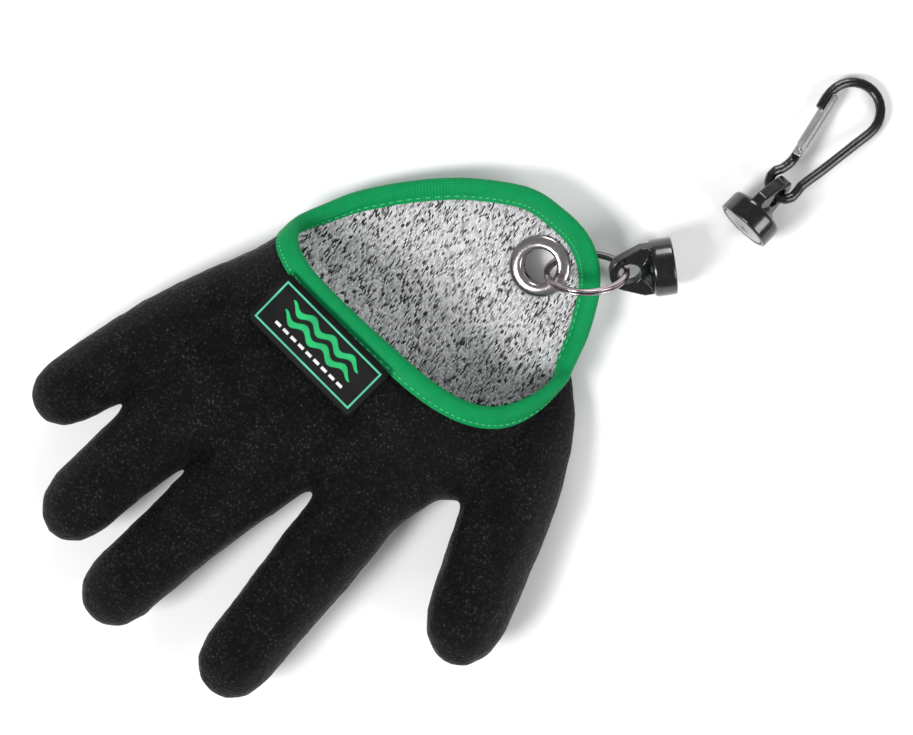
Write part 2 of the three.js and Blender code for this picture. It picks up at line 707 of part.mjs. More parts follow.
function magnetHousing() {
  const cap = new THREE.LatheGeometry([
    new THREE.Vector2(0, 0),
    new THREE.Vector2(capRadius - capEdge, 0),
    new THREE.Vector2(capRadius, capEdge),
    new THREE.Vector2(capRadius, capHeight - capEdge),
    new THREE.Vector2(capRadius - capEdge, capHeight),
    new THREE.Vector2(0.62 * capRadius, capHeight + 0.35 * shoulderHeight),
    new THREE.Vector2(shoulderRadius, capHeight + shoulderHeight),
    new THREE.Vector2(0, capHeight + shoulderHeight),
  ], capSides);
  const endRadius = tabTopWidth / 2 - tabEdge;
  const outline = new THREE.Shape();
  outline.moveTo(-tabRootWidth / 2 + tabEdge, capHeight - 1);
  outline.lineTo(tabRootWidth / 2 - tabEdge, capHeight - 1);
  outline.lineTo(tabRootWidth / 2 - tabEdge, tabRootHeight);
  outline.absarc(0, tabHolePlace, endRadius, radians(20), radians(160), false);
  outline.lineTo(-tabRootWidth / 2 + tabEdge, tabRootHeight);
  outline.closePath();
  const hole = new THREE.Path();
  hole.absarc(0, tabHolePlace, tabHole + tabEdge, 0, 2 * Math.PI, true);
  outline.holes.push(hole);
  const tab = new THREE.ExtrudeGeometry(outline, {
    depth: tabThick - 2 * tabEdge,
    bevelSize: tabEdge,
    bevelThickness: tabEdge,
    bevelSegments: 1,
    curveSegments: 5,
  }).translate(0, 0, -(tabThick - 2 * tabEdge) / 2);
  const recessRadius = (magnetRadius + gap) / Math.cos(Math.PI / capSides);
  const recessDepth = magnetThick + gap;
  const recess = new THREE.CylinderGeometry(recessRadius, recessRadius, 2 * recessDepth, capSides);
  return solidOf(cap).add(solidOf(tab)).subtract(solidOf(recess));
}

function magnetDisc() {
  return new THREE.CylinderGeometry(magnetRadius, magnetRadius, magnetThick, capSides)
    .translate(0, magnetThick / 2, 0);
}

// Carabiner, flat in its own frame with the small eye's centre at the origin
const dipSlope = radians(clipHalf.dip);
const clipHoleHeight = capRadius * Math.cos(dipSlope) + tabRootHeight * Math.sin(dipSlope)
  - tabHolePlace * Math.sin(dipSlope) + floorClearance;
const wireFloor = gateRadius + floorClearance;
const carabinerSlope = Math.asin((clipHoleHeight - wireFloor) / carabinerLength);
const carabinerMatrix = new THREE.Matrix4()
  .makeRotationX(carabinerSlope)
  .setPosition(
    carabinerPlace.across,
    carabinerPlace.along,
    clipHoleHeight - eyeRadius * Math.sin(carabinerSlope));
const eyeTop = new THREE.Vector3(Math.cos(radians(eyeGrip)), Math.sin(radians(eyeGrip)), 0)
  .multiplyScalar(eyeRadius).applyMatrix4(carabinerMatrix);
const clipFrame = halfFrame(clipHalf);
const clipHalfMatrix = placeHalf(clipFrame, eyeTop);

const pinCentre = new THREE.Vector3(gatePinPlace.across, gatePinPlace.along, 0);
const gateTurn = radians(gateHeading);
const gateAhead = new THREE.Vector3(Math.cos(gateTurn), Math.sin(gateTurn), 0);
const gateMatrix = new THREE.Matrix4()
  .makeBasis(gateAhead, new THREE.Vector3(-gateAhead.y, gateAhead.x, 0), up)
  .setPosition(pinCentre);

function circleShape(radius, sides) {
  const turnAt = (i) => ((i + 0.5) / sides) * 2 * Math.PI;
  return new THREE.Shape(Array.from({ length: sides }, (_, i) => new THREE.Vector2(
    radius * Math.cos(turnAt(i)), radius * Math.sin(turnAt(i)))));
}

function carabinerPath() {
  const spine = -eyeRadius + 1;
  const bottom = eyeRadius - carabinerLength;
  const bend = carabinerWidth / 2;
  const bendCentre = new THREE.Vector3(spine + bend, bottom + bend + 0.6, 0);
  const points = [];
  for (const turn of [14, -12, -38, -64, -90, -116, -142, -168]) {
    points.push(bendCentre.clone().add(new THREE.Vector3(
      bend * Math.cos(radians(turn)), (bend + 0.6) * Math.sin(radians(turn)), 0)));
  }
  const nose = points[0].clone().sub(pinCentre).dot(gateAhead) - (gateLength - gateTip + 2 * gap);
  points.unshift(points[0].clone().addScaledVector(gateAhead, -nose));
  for (const share of [0.25, 0.5, 0.75]) {
    points.push(new THREE.Vector3(spine, THREE.MathUtils.lerp(bendCentre.y, -eyeRadius, share), 0));
  }
  points.push(new THREE.Vector3(spine + 0.2, -eyeRadius - 2.3, 0));
  for (let turn = eyeStart; turn >= eyeEnd; turn -= (eyeStart - eyeEnd) / 8) {
    points.push(new THREE.Vector3(
      eyeRadius * Math.cos(radians(turn)), eyeRadius * Math.sin(radians(turn)), 0));
  }
  points.push(new THREE.Vector3(eyeRadius - 1.1, -eyeRadius + 0.6, 0));
  points.push(pinCentre.clone().addScaledVector(gateAhead, -gateHeel - gateRadius));
  return new THREE.CatmullRomCurve3(points, false, 'centripetal');
}

// A block in the gate's frame: x along the gate, y away from the carabiner's inside, z through it
function gateBlock(from, to, low, high, halfThick) {
  const block = new THREE.BoxGeometry(to - from, high - low, 2 * halfThick);
  return solidOf(block.translate((from + to) / 2, (low + high) / 2, 0));
}

const heelClearance = Math.hypot(gateHeel, gateRadius) + gap;
const nestSplit = 0.55;

function carabinerBody() {
  const wire = new THREE.ExtrudeGeometry(
    circleShape(wireRadius, wireSides),
    { steps: 42, extrudePath: carabinerPath(), bevelEnabled: false });
  const tongueEnd = tongueWidth / 2;
  const tongue = gateBlock(-heelClearance - 1, tongueEnd, -tongueWidth / 2, tongueWidth / 2,
    tongueThick / 2);
  const eye = movedSolid(
    new THREE.CylinderGeometry(pinRadius + gap, pinRadius + gap, throughCut, 10).rotateX(Math.PI / 2),
    new THREE.Matrix4());
  const heelRoom = gateBlock(-heelClearance, throughCut, -throughCut, throughCut, throughCut);
  const room = gateBlock(
    gateLength - gateTip - gap, gateLength + gap, -throughCut, nestSplit + gap / 2, throughCut);
  const wireSolid = movedSolid(wire, gateMatrix.clone().invert());
  const body = wireSolid.subtract(heelRoom).subtract(room).add(tongue).subtract(eye);
  return body.transform(gateMatrix.toArray());
}

function carabinerGate() {
  const rod = new THREE.CylinderGeometry(gateRadius, gateRadius, gateLength + gateHeel, 10)
    .rotateZ(Math.PI / 2)
    .translate((gateLength - gateHeel) / 2, 0, 0);
  const slot = gateBlock(-throughCut, tongueWidth / 2 + 1.2, -throughCut, throughCut,
    tongueThick / 2 + gap);
  const nest = gateBlock(
    gateLength - gateTip, gateLength + 1, nestSplit - gap / 2, throughCut, throughCut);
  const eye = movedSolid(
    new THREE.CylinderGeometry(pinRadius + gap, pinRadius + gap, throughCut, 10).rotateX(Math.PI / 2),
    new THREE.Matrix4());
  return solidOf(rod).subtract(slot).subtract(nest).subtract(eye);
}

function gatePin() {
  return new THREE.CylinderGeometry(pinRadius, pinRadius, 2 * gateRadius, 10).rotateX(Math.PI / 2);
}

// Materials
const finish = (color, roughness, metalness) => (
  new THREE.MeshStandardMaterial({ color, roughness, metalness }));
const finishes = {
  latex: finish(0x161616, 0.85, 0),
  knit: finish(0xbdbdbd, 0.95, 0),
  tape: finish(0x0c8f55, 0.8, 0),
  label: finish(0x222422, 0.6, 0),
  nickel: finish(0xb9b4b2, 0.25, 1),
  steel: finish(0xa8989b, 0.3, 1),
  housing: finish(0x101011, 0.3, 0),
  magnet: finish(0x9fa1a4, 0.35, 1),
  anodised: finish(0x141416, 0.35, 0.4),
  gate: finish(0x8f8f90, 0.4, 1),
};

function named(name, shape, material, matrix) {
  const geometry = shape.isBufferGeometry ? shape : geometryOf(shape);
  const mesh = new THREE.Mesh(geometry, material);
  mesh.name = name;
  if (matrix) matrix.decompose(mesh.position, mesh.quaternion, mesh.scale);
  return mesh;
}

const carabiner = new THREE.Group();
carabinerMatrix.decompose(carabiner.position, carabiner.quaternion, carabiner.scale);
carabiner.add(named('carabiner_body', carabinerBody(), finishes.anodised));
carabiner.add(named('carabiner_gate', carabinerGate(), finishes.gate, gateMatrix));
carabiner.add(named('gate_pin', gatePin(), finishes.steel, gateMatrix));

const glove = new THREE.Group();
glove.add(
  named('latex_coat', latexCoat(), finishes.latex),
  named('knit_liner', knitLiner(), finishes.knit),
  named('edge_binding', mouthTape(), finishes.tape),
  named('label_patch', labelPatch(), finishes.label),
  named('eyelet', eyelet(), finishes.nickel, eyeletMatrix),
  named('eyelet_washer', eyeletWasher(), finishes.nickel, eyeletMatrix),
  named('split_ring', splitRing(), finishes.steel, ringMatrix),
  named('magnet_housing_glove', magnetHousing(), finishes.housing, gloveHalfMatrix),
  named('magnet_glove', magnetDisc(), finishes.magnet, gloveHalfMatrix),
  named('magnet_housing_clip', magnetHousing(), finishes.housing, clipHalfMatrix),
  named('magnet_clip', magnetDisc(), finishes.magnet, clipHalfMatrix),
  carabiner);

// The origin is on the floor, under the middle of the whole
const box = new THREE.Box3().setFromObject(glove, true);
const middle = box.getCenter(new THREE.Vector3());
glove.position.set(-middle.x, -middle.y, -box.min.z);

const group = new THREE.Group();
group.add(glove);

export default group;
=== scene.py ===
"""Builds the looks of a left-hand fishing glove, its magnetic coupling and its carabiner."""

import math

import bmesh
import bpy
import numpy as np
from bpy.props import FloatProperty, FloatVectorProperty, PointerProperty
from mathutils import Matrix, Vector, noise
from mathutils.bvhtree import BVHTree


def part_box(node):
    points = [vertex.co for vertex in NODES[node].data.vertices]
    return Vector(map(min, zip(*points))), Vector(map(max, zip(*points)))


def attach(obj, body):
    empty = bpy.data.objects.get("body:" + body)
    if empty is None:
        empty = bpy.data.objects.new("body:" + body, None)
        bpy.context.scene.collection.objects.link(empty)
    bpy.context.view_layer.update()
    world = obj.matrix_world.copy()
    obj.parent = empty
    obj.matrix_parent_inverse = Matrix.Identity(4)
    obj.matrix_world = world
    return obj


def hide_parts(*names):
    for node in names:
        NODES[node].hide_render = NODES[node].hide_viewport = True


bl_info = {
    "name": "Fishing glove",
    "version": (1, 0, 0),
    "blender": (4, 5, 0),
    "location": "3D View > Sidebar > Glove",
    "description": "Dresses the packed glove in latex, knit, tape, rubber and metal",
    "category": "Object",
}

MM = 0.001
FINE_VOXEL = 0.65 * MM
SKIN_VOXEL = 1.35 * MM
# Skin farther than this from the coat's solid belongs to a lid or a plug
CAP_DISTANCE = 1.5 * MM
FLOOR_CLEARANCE = 0.05 * MM
# In mm: the seam's distance from the cloth's edge, and half of a tab's thickness
SEAM_REACH = 5.5
TAB_HALF_THICKNESS = 2.3
PHOTO_WIDTH = 913
MM_PER_PIXEL = 0.375

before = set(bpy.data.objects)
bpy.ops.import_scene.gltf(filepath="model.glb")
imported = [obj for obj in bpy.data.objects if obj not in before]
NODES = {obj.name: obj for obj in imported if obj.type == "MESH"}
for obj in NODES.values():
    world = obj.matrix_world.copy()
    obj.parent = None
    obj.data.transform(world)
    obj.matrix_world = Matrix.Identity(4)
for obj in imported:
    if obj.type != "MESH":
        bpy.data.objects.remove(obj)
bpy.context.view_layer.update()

# The mouth's edge, in mm: a point on the coat, and the direction along the coat away from the edge
RIM = [
    (78.9, 24.2, 14.8, 0.02, 0.54, -0.84),
    (78.2, 26.7, 17.8, 0.1, 0.9, -0.44),
    (76.9, 28.2, 20.6, 0.3, 0.86, -0.41),
    (75, 30.1, 23, 0.34, 0.87, -0.35),
    (71.8, 31.8, 25, 0.24, 0.95, -0.21),
    (67.9, 32.8, 27, 0.13, 0.98, -0.12),
    (63.5, 33.4, 28.7, 0.04, 1, -0.08),
    (57.9, 33.4, 30.2, -0.07, 1, -0.06),
    (51.8, 32.9, 31.4, -0.11, 0.99, -0.06),
    (45.2, 32.1, 32.5, -0.14, 0.99, -0.06),
    (37.7, 31, 33.3, -0.16, 0.98, -0.06),
    (29.2, 29.7, 33.8, -0.16, 0.98, -0.07),
    (19.7, 28, 34.1, -0.18, 0.98, -0.07),
    (10.4, 26.3, 34, -0.17, 0.98, -0.07),
    (2.1, 24.6, 33.7, -0.24, 0.97, -0.08),
    (-5.2, 22.5, 33.2, -0.32, 0.94, -0.09),
    (-11.3, 20, 32.3, -0.4, 0.91, -0.09),
    (-16.7, 16.9, 31.2, -0.55, 0.82, -0.16),
    (-21.4, 13, 29.9, -0.66, 0.72, -0.22),
    (-24.8, 8.5, 28.3, -0.75, 0.58, -0.31),
    (-27.5, 2.5, 26.6, -0.76, 0.37, -0.53),
    (-29.4, -4.3, 24.8, -0.69, 0.32, -0.64),
    (-30.1, -9.9, 22.7, -0.57, 0.39, -0.72),
    (-30.4, -14.6, 20.2, -0.25, 0.54, -0.8),
    (-30.1, -17.7, 17.3, -0.24, 0.75, -0.62),
    (-28.9, -20, 15, -0.01, 0.52, -0.85),
    (-26.2, -25.6, 13.8, 0.54, 0.31, -0.78),
    (-22.2, -33.3, 13.6, 0.6, 0.4, -0.69),
    (-17, -40.6, 13.9, 0.67, 0.46, -0.59),
    (-12.3, -46.3, 14.1, 0.62, 0.63, -0.48),
    (-7.5, -50.4, 14.2, 0.54, 0.72, -0.44),
    (-3.1, -53.1, 14.2, 0.41, 0.82, -0.39),
    (1, -54.8, 14, 0.29, 0.9, -0.32),
    (5.1, -55.9, 13.7, 0.15, 0.94, -0.29),
    (9.6, -56.3, 13.5, -0.02, 0.96, -0.26),
    (15, -55.9, 13.2, -0.15, 0.96, -0.25),
    (21.4, -54.6, 12.7, -0.23, 0.94, -0.24),
    (28.2, -52.9, 12.4, -0.3, 0.92, -0.24),
    (34.5, -49.8, 11.8, -0.6, 0.76, -0.25),
    (40.6, -44.9, 10.9, -0.67, 0.7, -0.25),
    (46.4, -39.4, 10.1, -0.67, 0.69, -0.27),
    (52.6, -32.8, 9.2, -0.75, 0.58, -0.33),
    (59.5, -23.5, 7.9, -0.8, 0.48, -0.36),
    (65.5, -13.8, 7.1, -0.81, 0.45, -0.38),
    (70.3, -4.8, 7.3, -0.74, 0.39, -0.55),
    (74.2, 4.1, 8, -0.69, 0.31, -0.66),
    (76.5, 12.7, 9.6, -0.57, 0.34, -0.75),
    (78.1, 19, 12, -0.13, 0.48, -0.87),
]

# Section of the folded tape, in mm: distance from the cloth's edge, and height over the coat
TAPE_SECTION = [
    (6.9, 0.35),
    (7.1, 0.7),
    (6.9, 1.0),
    (6.2, 1.15),
    (5.5, 0.75),
    (4.8, 1.15),
    (3.6, 1.5),
    (2.1, 1.65),
    (0.6, 1.45),
    (-0.6, 0.8),
    (-1.25, -0.3),
    (-1.4, -1.4),
    (-1.15, -2.5),
    (-0.4, -3.4),
    (0.8, -4.0),
    (2.3, -4.25),
    (3.8, -4.1),
    (4.8, -3.75),
    (5.5, -3.35),
    (6.2, -3.75),
    (6.9, -3.65),
    (7.1, -3.3),
    (6.9, -2.95),
    (4.4, -2.9),
    (0.2, -2.8),
    (-0.4, -1.3),
    (0.2, 0.3),
    (4.4, 0.35),
]

# Blocks taken out of the coat, in mm: corners on the floor, and the heights they run between
SKIN_CUTS = [
    ([(31.5, 113.5), (32.2, 126.0), (32.6, 136.0), (31.8, 142.0), (30.6, 128.0)], -5, 40),
]


def placed(origin, across, along):
    """A frame with its origin in mm and its X and Y axes given."""
    across = Vector(across).normalized()
    along = Vector(along).normalized()
    matrix = Matrix((across, along, across.cross(along))).transposed().to_4x4()
    matrix.translation = Vector(origin) * MM
    return matrix


EYELET_FRAME = placed((9.14, -35.74, 10.77), (0.9994, -0.0044, -0.0343), (-0.0044, 0.9681, -0.2506))
RING_FRAME = placed((-3.72, -47.89, 15.23), (-0.5906, -0.807, 0), (-0.418, 0.3059, 0.8554))
GLOVE_HALF = placed((-21.63, -75.67, 11.1), (0.7006, -0.4045, 0.5878), (0.5, 0.866, 0))
CLIP_HALF = placed((-26.1, -104.77, 12.1), (-0.2844, 0.0461, -0.9576), (0.1335, -0.9872, -0.0872))
GATE_FRAME = placed((-16.74, -139.2, 7.91), (0.3305, -0.9329, -0.1432), (0.9438, 0.3267, 0.0502))


class GloveSizes(bpy.types.PropertyGroup):
    """Sizes that a user would change."""

    crinkle: FloatProperty(name="Crinkle", description="Width of one crinkle in the latex",
                           default=0.0013, unit="LENGTH")
    stitch: FloatProperty(name="Knit stitch", description="Width of one knitted stitch",
                          default=0.0011, unit="LENGTH")
    coat_wall: FloatProperty(name="Coat wall", description="Thickness of the latex coat",
                             default=0.0011, unit="LENGTH")
    liner_wall: FloatProperty(name="Liner wall", description="Thickness of the knit",
                              default=0.001, unit="LENGTH")
    liner_gap: FloatProperty(name="Liner gap", description="Coat's outside to knit's outside",
                             default=0.0015, unit="LENGTH")
    label_length: FloatProperty(name="Label length", description="Length of the moulded label",
                                default=0.054, unit="LENGTH")
    label_height: FloatProperty(name="Label height", description="Height of the moulded label",
                                default=0.023, unit="LENGTH")


class GloveColours(bpy.types.PropertyGroup):
    """Colours that a user would change."""

    latex: FloatVectorProperty(name="Latex", description="Colour of the coat", subtype="COLOR",
                               default=(0.0045, 0.0045, 0.0048))
    tape: FloatVectorProperty(name="Tape", description="Colour of the woven tape", subtype="COLOR",
                              default=(0.001, 0.235, 0.068))
    waves: FloatVectorProperty(name="Label waves", description="Colour of the label's waves",
                               subtype="COLOR", default=(0.02, 0.40, 0.13))
    frame_line: FloatVectorProperty(name="Label frame", description="Colour of the frame line",
                                    subtype="COLOR", default=(0.10, 0.50, 0.30))


def sizes():
    return bpy.context.scene.glove_sizes


def colours():
    return bpy.context.scene.glove_colours


class Finish:
    """A material under construction."""

    def __init__(self, name, colour, roughness, metallic=0.0, **sockets):
        self.material = bpy.data.materials.new(name)
        self.material.use_nodes = True
        self.tree = self.material.node_tree
        self.surface = self.tree.nodes["Principled BSDF"]
        self.surface.inputs["Base Color"].default_value = (*colour, 1)
        self.surface.inputs["Roughness"].default_value = roughness
        self.surface.inputs["Metallic"].default_value = metallic
        for socket, value in sockets.items():
            self.surface.inputs[socket.replace("_", " ")].default_value = value

    def add(self, kind, settings=None, **inputs):
        """A node of that kind; inputs are values or other nodes' sockets."""
        made = self.tree.nodes.new("ShaderNode" + kind)
        for key, value in (settings or {}).items():
            setattr(made, key, value)
        for key, value in inputs.items():
            socket = made.inputs[int(key[2:])] if key.startswith("in") and key[2:].isdigit() \
                else made.inputs[key.replace("_", " ")]
            if isinstance(value, bpy.types.NodeSocket):
                self.tree.links.new(value, socket)
            else:
                socket.default_value = value
        return made

    def math(self, operation, first, second=0.0, third=0.0):
        """The result of a math node; the values are numbers or other nodes' sockets."""
        values = {"in0": first, "in1": second, "in2": third}
        return self.add("Math", {"operation": operation}, **values).outputs[0]

    def set(self, socket, value):
        """Links a socket's output to the surface."""
        self.tree.links.new(value, self.surface.inputs[socket])

    def place(self):
        """Object coordinates."""
        return self.add("TexCoord").outputs["Object"]

    def bump(self, height, distance):
        made = self.add("Bump", Height=height, Distance=distance, Strength=1.0)
        self.set("Normal", made.outputs["Normal"])

    def ramp(self, value, stops):
        made = self.add("ValToRGB", Fac=value)
        elements = made.color_ramp.elements
        while len(elements) < len(stops):
            elements.new(0.5)
        for element, (position, colour) in zip(elements, stops):
            element.position = position
            element.color = (*colour, 1)
        return made.outputs["Color"]


def crinkled_latex():
    """Black latex with warped cells, painted darker in the hollows as painted shade and paler on the
    raised crests as painted highlights.
    """
    finish = Finish("crinkled_latex", colours().latex, 0.45, Specular_IOR_Level=0.2)
    place = finish.place()
    size = sizes().crinkle
    warp = finish.add("TexNoise", Vector=place, Scale=0.6 / size, Detail=2.0)
    shifted = finish.add("VectorMath", {"operation": "MULTIPLY_ADD"}, in0=warp.outputs["Color"],
                         in1=(1.1 * size,) * 3, in2=place)
    cells = finish.add("TexVoronoi", {"feature": "SMOOTH_F1"}, Vector=shifted.outputs[0],
                       Scale=1 / size, Smoothness=0.5)
    fine = finish.add("TexNoise", Vector=shifted.outputs[0], Scale=2.2 / size, Detail=4.0,
                      Roughness=0.6, Distortion=0.6)
    broad = finish.add("TexNoise", Vector=place, Scale=0.14 / size, Detail=3.0).outputs["Fac"]
    height = finish.math("MULTIPLY_ADD", cells.outputs["Distance"], -0.9, fine.outputs["Fac"])
    depth = finish.math("MULTIPLY_ADD", broad, 0.35, height)
    # The darker stops are painted shade in the hollows between cells; the paler stops are painted
    # highlights on the crests.
    dark = [channel * 0.3 for channel in colours().latex]
    light = [channel * 3.0 for channel in colours().latex]
    painted_crest_highlight = [channel * 18.0 for channel in colours().latex]
    finish.set("Base Color", finish.ramp(depth, [(0.05, dark), (0.3, colours().latex), (0.5, light),
                                                 (0.66, painted_crest_highlight)]))
    rough = finish.add("MapRange", Value=broad, in1=0.35, in2=0.65, in3=0.36, in4=0.5)
    finish.set("Roughness", rough.outputs[0])
    finish.bump(height, 2.2 * size)
    return finish.material


def melange_knit():
    """Slanted stitches in columns along Y, light grey with scattered dark ones."""
    finish = Finish("melange_knit", (0.5, 0.5, 0.5), 0.9, Specular_IOR_Level=0.15)
    size = sizes().stitch
    place = finish.add("SeparateXYZ", Vector=finish.place()).outputs
    wander = finish.add("TexNoise", Vector=finish.place(), Scale=140.0, Detail=2.0).outputs["Fac"]
    across = finish.math("MULTIPLY_ADD", wander, 0.0026, place["X"])
    climb = finish.math("SUBTRACT", place["Y"], finish.math("MULTIPLY", place["Z"], 0.6))
    slanted = finish.math("MULTIPLY_ADD", climb, 0.28, across)
    column = finish.math("DIVIDE", slanted, 0.5 * size)
    side = finish.math("FLOOR", column)
    jump = finish.add("TexWhiteNoise", {"noise_dimensions": "1D"}, W=side).outputs["Value"]
    row = finish.math("ADD", jump, finish.math("DIVIDE", climb, size * 1.35))
    cell = finish.add("CombineXYZ", X=side, Y=finish.math("FLOOR", row))
    chance = finish.add("TexWhiteNoise", {"noise_dimensions": "2D"}, Vector=cell.outputs[0])
    patch = finish.add("TexNoise", Vector=finish.place(), Scale=70.0, Detail=2.0).outputs["Fac"]
    mixed = finish.math("MULTIPLY_ADD", finish.math("SUBTRACT", patch, 0.5), 0.22,
                       chance.outputs["Value"])
    yarn = finish.ramp(mixed, [(0.0, (0.03, 0.03, 0.031)), (0.1, (0.08, 0.08, 0.082)),
                               (0.18, (0.26, 0.26, 0.265)), (0.3, (0.5, 0.5, 0.51)),
                               (0.6, (0.7, 0.7, 0.71)), (0.9, (0.88, 0.88, 0.89))])
    crown = finish.math("SINE", finish.math("MULTIPLY", finish.math("FRACT", row), math.pi))
    rib = finish.math("SINE", finish.math("MULTIPLY", finish.math("FRACT", column), math.pi))
    height = finish.math("MULTIPLY", finish.math("SQRT", crown), rib)
    # Each stitch is painted darker towards its edges: painted shade between the stitches.
    shade = finish.add("MapRange", Value=height, in1=0.0, in2=0.5, in3=0.6, in4=1.0)
    tone = finish.add("VectorMath", {"operation": "SCALE"}, Vector=yarn, Scale=shade.outputs[0])
    finish.set("Base Color", tone.outputs[0])
    finish.bump(height, 0.3 * size)
    return finish.material


def woven_tape():
    """A diagonal weave along the tape's own UV map, in metres."""
    green = colours().tape
    finish = Finish("woven_tape", green, 0.5, Specular_IOR_Level=0.1)
    place = finish.add("SeparateXYZ", Vector=finish.add("UVMap", {"uv_map": "UVMap"}).outputs[0])
    along, across = place.outputs["X"], place.outputs["Y"]
    ribs = []
    for sign in (1.0, -1.0):
        line = finish.math("MULTIPLY_ADD", across, sign, along)
        wave = finish.math("SINE", finish.math("MULTIPLY", line, 2 * math.pi / 0.0014))
        ribs.append(wave)
    weave = finish.math("MULTIPLY", ribs[0], ribs[1])
    mottle = finish.add("TexNoise", Vector=finish.place(), Scale=260.0, Detail=3.0).outputs["Fac"]
    height = finish.math("MULTIPLY_ADD", mottle, 1.2, weave)
    # The colour follows the bump's height: random mottle in the green, and the weave's grooves painted
    # darker as painted shade and its raised threads paler as painted highlights.
    dark = [channel * 0.55 for channel in green]
    light = [min(1.0, channel * 1.35 + 0.004) for channel in green]
    finish.set("Base Color", finish.ramp(finish.math("MULTIPLY_ADD", height, 0.25, 0.35),
                                         [(0.1, dark), (0.5, green), (0.9, light)]))
    finish.bump(height, 0.00005)
    return finish.material


def moulded_rubber(name, colour, roughness):
    finish = Finish(name, colour, roughness, Specular_IOR_Level=0.05)
    grain = finish.add("TexNoise", Vector=finish.place(), Scale=1400.0, Detail=4.0)
    cloud = finish.add("TexNoise", Vector=finish.place(), Scale=120.0, Detail=2.0).outputs["Fac"]
    dark = [channel * 0.8 for channel in colour]
    light = [min(1.0, channel * 1.15) for channel in colour]
    finish.set("Base Color", finish.ramp(cloud, [(0.3, dark), (0.7, light)]))
    finish.bump(grain.outputs["Fac"], 0.00006)
    return finish.material


def gloss_plastic():
    finish = Finish("gloss_plastic", (0.002, 0.002, 0.0023), 0.2, Coat_Weight=0.5,
                    Coat_Roughness=0.08, Specular_IOR_Level=0.5)
    grain = finish.add("TexNoise", Vector=finish.place(), Scale=320.0, Detail=3.0).outputs["Fac"]
    rough = finish.add("MapRange", Value=grain, in1=0.3, in2=0.7, in3=0.17, in4=0.34)
    finish.set("Roughness", rough.outputs[0])
    finish.bump(grain, 0.00005)
    return finish.material


def worn_metal(name, colour, roughness, streak=1.0, turn=0.0):
    """Plated or satin metal; streak above 1 draws its scratches out along the turned X axis."""
    finish = Finish(name, colour, roughness, 1.0)
    mapped = finish.add("Mapping", Vector=finish.place(), Rotation=(0, 0, turn),
                        Scale=(1 / streak, 1, 1))
    scratch = finish.add("TexNoise", Vector=mapped.outputs[0], Scale=1500.0, Detail=3.0)
    cloud = finish.add("TexNoise", Vector=finish.place(), Scale=180.0, Detail=3.0).outputs["Fac"]
    both = finish.math("MULTIPLY_ADD", cloud, 0.6, finish.math("MULTIPLY", scratch.outputs["Fac"], 0.4))
    rough = finish.add("MapRange", Value=both, in1=0.3, in2=0.7, in3=roughness * 0.7,
                       in4=roughness * 1.4)
    finish.set("Roughness", rough.outputs[0])
    dull = [channel * 0.8 for channel in colour]
    finish.set("Base Color", finish.ramp(both, [(0.3, dull), (0.65, colour)]))
    finish.bump(scratch.outputs["Fac"], 0.00002)
    return finish.material


def anodised_black():
    finish = Finish("anodised_black", (0.003, 0.003, 0.0034), 0.28, 0.2, Coat_Weight=0.3,
                    Coat_Roughness=0.15)
    grain = finish.add("TexNoise", Vector=finish.place(), Scale=900.0, Detail=3.0).outputs["Fac"]
    rough = finish.add("MapRange", Value=grain, in1=0.3, in2=0.7, in3=0.22, in4=0.4)
    finish.set("Roughness", rough.outputs[0])
    finish.bump(grain, 0.00003)
    return finish.material


def new_piece(name, shape, material, replaces=(), body="root"):
    """Makes an object of a bmesh, riding on a body in place of its CAD nodes."""
    mesh = bpy.data.meshes.new(name)
    shape.to_mesh(mesh)
    shape.free()
    mesh.shade_smooth()
    piece = bpy.data.objects.new(name, mesh)
    bpy.context.collection.objects.link(piece)
    if material:
        mesh.materials.append(material)
        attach(piece, body)
    if replaces:
        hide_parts(*replaces)
    return piece


def modifier(piece, kind, **settings):
    made = piece.modifiers.new(kind.title(), kind)
    for key, value in settings.items():
        setattr(made, key, value)
    return made


def baked(piece):
    """The piece's mesh with its modifiers applied, as a bmesh; the piece itself goes."""
    depsgraph = bpy.context.evaluated_depsgraph_get()
    shape = bmesh.new()
    shape.from_mesh(piece.evaluated_get(depsgraph).to_mesh())
    bpy.data.objects.remove(piece)
    return shape


def merged_node(name):
    """A CAD node's mesh with its loose triangles joined."""
    shape = bmesh.new()
    shape.from_mesh(NODES[name].data)
    bmesh.ops.remove_doubles(shape, verts=shape.verts, dist=1e-6)
    return shape


def smoothed(shape, rounds):
    for _ in range(rounds):
        bmesh.ops.smooth_vert(shape, verts=shape.verts, factor=0.5, use_axis_x=True,
                              use_axis_y=True, use_axis_z=True)


def remeshed(shape, voxel, rounds):
    """One even closed skin over the shape, with its edges softened."""
    helper = new_piece("remesh_helper", shape, None)
    modifier(helper, "REMESH", mode="VOXEL", voxel_size=voxel)
    made = baked(helper)
    smoothed(made, rounds)
    return made


def inflated(shape, distance):
    shape.normal_update()
    moved = [(vert, vert.co + vert.normal * distance) for vert in shape.verts]
    for vert, place in moved:
        vert.co = place


def gridded(columns, rows, place):
    """A grid whose corners are moved to place(u, v), with u and v from 0 to 1, and with a UV map."""
    shape = bmesh.new()
    bmesh.ops.create_grid(shape, x_segments=columns, y_segments=rows, size=1)
    layer = shape.loops.layers.uv.new("UVMap")
    share = {vert: ((vert.co.x + 1) / 2, (vert.co.y + 1) / 2) for vert in shape.verts}
    for face in shape.faces:
        for loop in face.loops:
            loop[layer].uv = share[loop.vert]
    for vert, (u, v) in share.items():
        vert.co = place(u, v)
    return shape


def welded(shape, distance=1e-6):
    bmesh.ops.remove_doubles(shape, verts=shape.verts, dist=distance)
    bmesh.ops.recalc_face_normals(shape, faces=shape.faces)
    return shape


